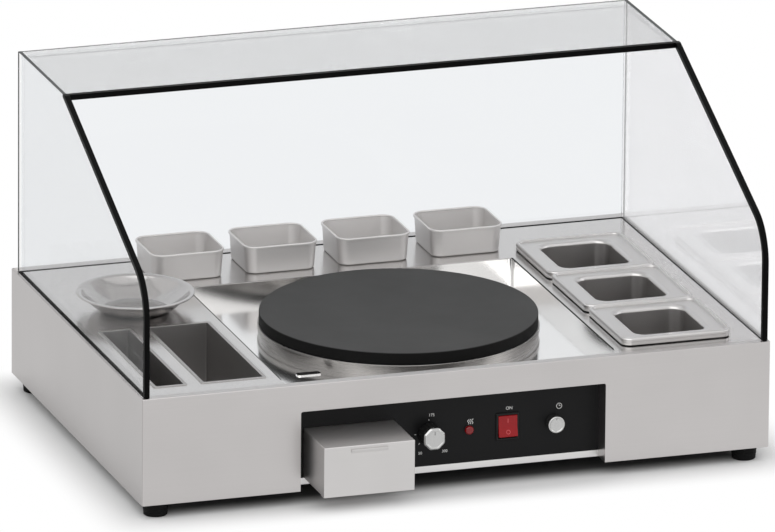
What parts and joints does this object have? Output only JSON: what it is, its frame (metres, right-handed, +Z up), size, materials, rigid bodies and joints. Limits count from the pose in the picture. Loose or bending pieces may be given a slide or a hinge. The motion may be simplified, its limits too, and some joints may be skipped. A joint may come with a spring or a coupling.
{
  "type": "electric crepe maker",
  "caption": "Countertop crepe station: a round iron griddle in a stainless cabinet with a glass guard, lift-out pans and troughs, a crumb drawer and a black control panel.",
  "frame": {"origin": "on the counter, under the middle of the bounding box with the crumb drawer open as stored", "axes": "+X to the user's right, +Y to the back, +Z up"},
  "size_m": [0.936, 0.7336, 0.5125],
  "materials": {
    "cabinet_steel": "satin, brushed along the sheet",
    "deck_steel": "bright, finely brushed",
    "ring_steel": "turned satin",
    "griddle_iron": "seasoned, matte, machined top",
    "pan_steel": "satin drawn sheet",
    "dish_steel": "satin spun stainless steel",
    "drawer_steel": "dull brushed",
    "guard_glass": "clear toughened",
    "black_trim": "satin black",
    "seal_rubber": "matte",
    "foot_rubber": "matte moulded",
    "black_panel": "satin black with white print",
    "knob_grip": "matte moulded",
    "knob_silver": "satin turned",
    "switch_black": "satin moulded",
    "rocker_red": "glossy translucent red",
    "lens_red": "glossy translucent red",
    "zinc_steel": "zinc plated",
    "element_steel": "heat-tinted",
    "ceramic_fibre": "felted",
    "bulb_copper": "drawn copper",
    "control_body": "matte moulded"
  },
  "bodies": {
    "cabinet": {"base_plate": "cabinet_steel", "cable_gland": "switch_black", "control_fascia": "black_panel", "deck_left": "deck_steel", "deck_rear": "deck_steel", "deck_right": "deck_steel", "drain_spout": "deck_steel", "drawer_runners": "drawer_steel", "edge_trim_left": "black_trim", "edge_trim_right": "black_trim", "edge_trim_top": "black_trim", "element_clamps": "zinc_steel", "foot_front_left": "foot_rubber", "foot_front_right": "foot_rubber", "foot_rear_left": "foot_rubber", "foot_rear_right": "foot_rubber", "foot_screws": "zinc_steel", "front_panel": "cabinet_steel", "glass_channel_left": "seal_rubber", "glass_channel_rear": "seal_rubber", "glass_channel_right": "seal_rubber", "guard_glass_left": "guard_glass", "guard_glass_rear": "guard_glass", "guard_glass_right": "guard_glass", "guard_glass_top": "guard_glass", "heat_reflector": "zinc_steel", "heating_element": "element_steel", "hot_plate": "griddle_iron", "insulation_disc": "ceramic_fibre", "panel_screws": "zinc_steel", "plate_fixing": "zinc_steel", "plate_ring": "ring_steel", "power_switch_frame": "switch_black", "ready_lamp_holder": "switch_black", "ready_lamp_lens": "lens_red", "rear_panel": "cabinet_steel", "sensor_bulb": "bulb_copper", "side_panel_left": "cabinet_steel", "side_panel_right": "cabinet_steel", "terminal_block": "control_body", "thermostat_body": "control_body", "timer_body": "control_body", "well_tray": "deck_steel"},
    "drawer": {"drawer_tray": "drawer_steel", "drawer_front": "drawer_steel"},
    "temp_knob": {"temp_knob_skirt": "knob_grip", "temp_knob_cap": "knob_silver", "temp_knob_spindle": "zinc_steel"},
    "timer_knob": {"timer_knob": "knob_silver"},
    "power_rocker": {"power_rocker": "rocker_red"},
    "gastro_pan_1": {"gastro_pan_1": "pan_steel"},
    "gastro_pan_2": {"gastro_pan_2": "pan_steel"},
    "gastro_pan_3": {"gastro_pan_3": "pan_steel"},
    "topping_pan_1": {"topping_pan_1": "pan_steel"},
    "topping_pan_2": {"topping_pan_2": "pan_steel"},
    "topping_pan_3": {"topping_pan_3": "pan_steel"},
    "topping_pan_4": {"topping_pan_4": "pan_steel"},
    "crepe_dish": {"crepe_dish": "dish_steel"},
    "utensil_trough_narrow": {"utensil_trough_narrow": "pan_steel"},
    "utensil_trough_wide": {"utensil_trough_wide": "pan_steel"}
  },
  "joints": [
    {"name": "drawer_slide", "type": "slide", "parent": "cabinet", "child": "drawer", "axis": [0, -1, 0], "range_m": [-0.065, 0.12]},
    {"name": "temp_knob_turn", "type": "hinge", "parent": "cabinet", "child": "temp_knob", "pos_m": [-0.034, -0.29, 0.08], "axis": [0, 1, 0], "range_deg": [-135, 135]},
    {"name": "timer_knob_turn", "type": "hinge", "parent": "cabinet", "child": "timer_knob", "pos_m": [0.1525, -0.28, 0.08], "axis": [0, 1, 0], "range_deg": [0, 300]},
    {"name": "power_rocker_tilt", "type": "hinge", "parent": "cabinet", "child": "power_rocker", "pos_m": [0.0835, -0.26625, 0.08], "axis": [1, 0, 0], "range_deg": [0, 14]},
    {"name": "gastro_pan_1_lift", "type": "slide", "parent": "cabinet", "child": "gastro_pan_1", "axis": [0, 0, 1], "range_m": [0, 0.11]},
    {"name": "gastro_pan_2_lift", "type": "slide", "parent": "cabinet", "child": "gastro_pan_2", "axis": [0, 0, 1], "range_m": [0, 0.11]},
    {"name": "gastro_pan_3_lift", "type": "slide", "parent": "cabinet", "child": "gastro_pan_3", "axis": [0, 0, 1], "range_m": [0, 0.11]},
    {"name": "topping_pan_1_lift", "type": "slide", "parent": "cabinet", "child": "topping_pan_1", "axis": [0, 0, 1], "range_m": [0, 0.08]},
    {"name": "topping_pan_2_lift", "type": "slide", "parent": "cabinet", "child": "topping_pan_2", "axis": [0, 0, 1], "range_m": [0, 0.08]},
    {"name": "topping_pan_3_lift", "type": "slide", "parent": "cabinet", "child": "topping_pan_3", "axis": [0, 0, 1], "range_m": [0, 0.08]},
    {"name": "topping_pan_4_lift", "type": "slide", "parent": "cabinet", "child": "topping_pan_4", "axis": [0, 0, 1], "range_m": [0, 0.08]},
    {"name": "crepe_dish_lift", "type": "slide", "parent": "cabinet", "child": "crepe_dish", "axis": [0, 0, 1], "range_m": [0, 0.08]},
    {"name": "utensil_trough_narrow_lift", "type": "slide", "parent": "cabinet", "child": "utensil_trough_narrow", "axis": [0, 0, 1], "range_m": [0, 0.11]},
    {"name": "utensil_trough_wide_lift", "type": "slide", "parent": "cabinet", "child": "utensil_trough_wide", "axis": [0, 0, 1], "range_m": [0, 0.11]}
  ]
}
